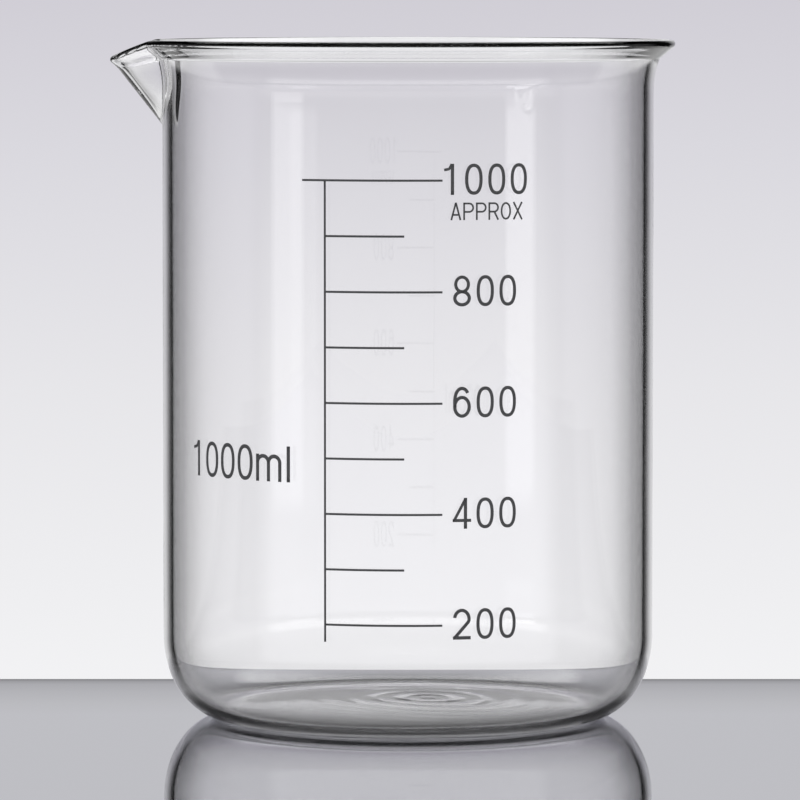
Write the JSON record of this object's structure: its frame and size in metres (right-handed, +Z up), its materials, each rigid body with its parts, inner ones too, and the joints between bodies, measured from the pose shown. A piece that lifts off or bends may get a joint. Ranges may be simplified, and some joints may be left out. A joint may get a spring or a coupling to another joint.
{
  "type": "laboratory beaker",
  "caption": "Low-form glass laboratory beaker with a flared fire-polished rim, a pouring spout, a rounded heel and a printed volume scale on its wall.",
  "frame": {"origin": "centre of the flat underside of the base, on the axis of the round body, at table height", "axes": "+Z up along the body's axis; the spout points along -X; the printed scale faces -Y"},
  "size_m": [0.1209, 0.1144, 0.145],
  "materials": {
    "borosilicate_glass": "fire-polished clear borosilicate glass, smooth and glossy",
    "fired_enamel": "dark grey ceramic enamel fired onto the glass, satin"
  },
  "bodies": {
    "root": {"glass_vessel": "borosilicate_glass", "scale_spine": "fired_enamel", "long_marks": "fired_enamel", "short_marks": "fired_enamel", "number_1000": "fired_enamel", "number_800": "fired_enamel", "number_600": "fired_enamel", "number_400": "fired_enamel", "number_200": "fired_enamel", "word_approx": "fired_enamel", "capacity_mark_1000ml": "fired_enamel"}
  },
  "joints": []
}
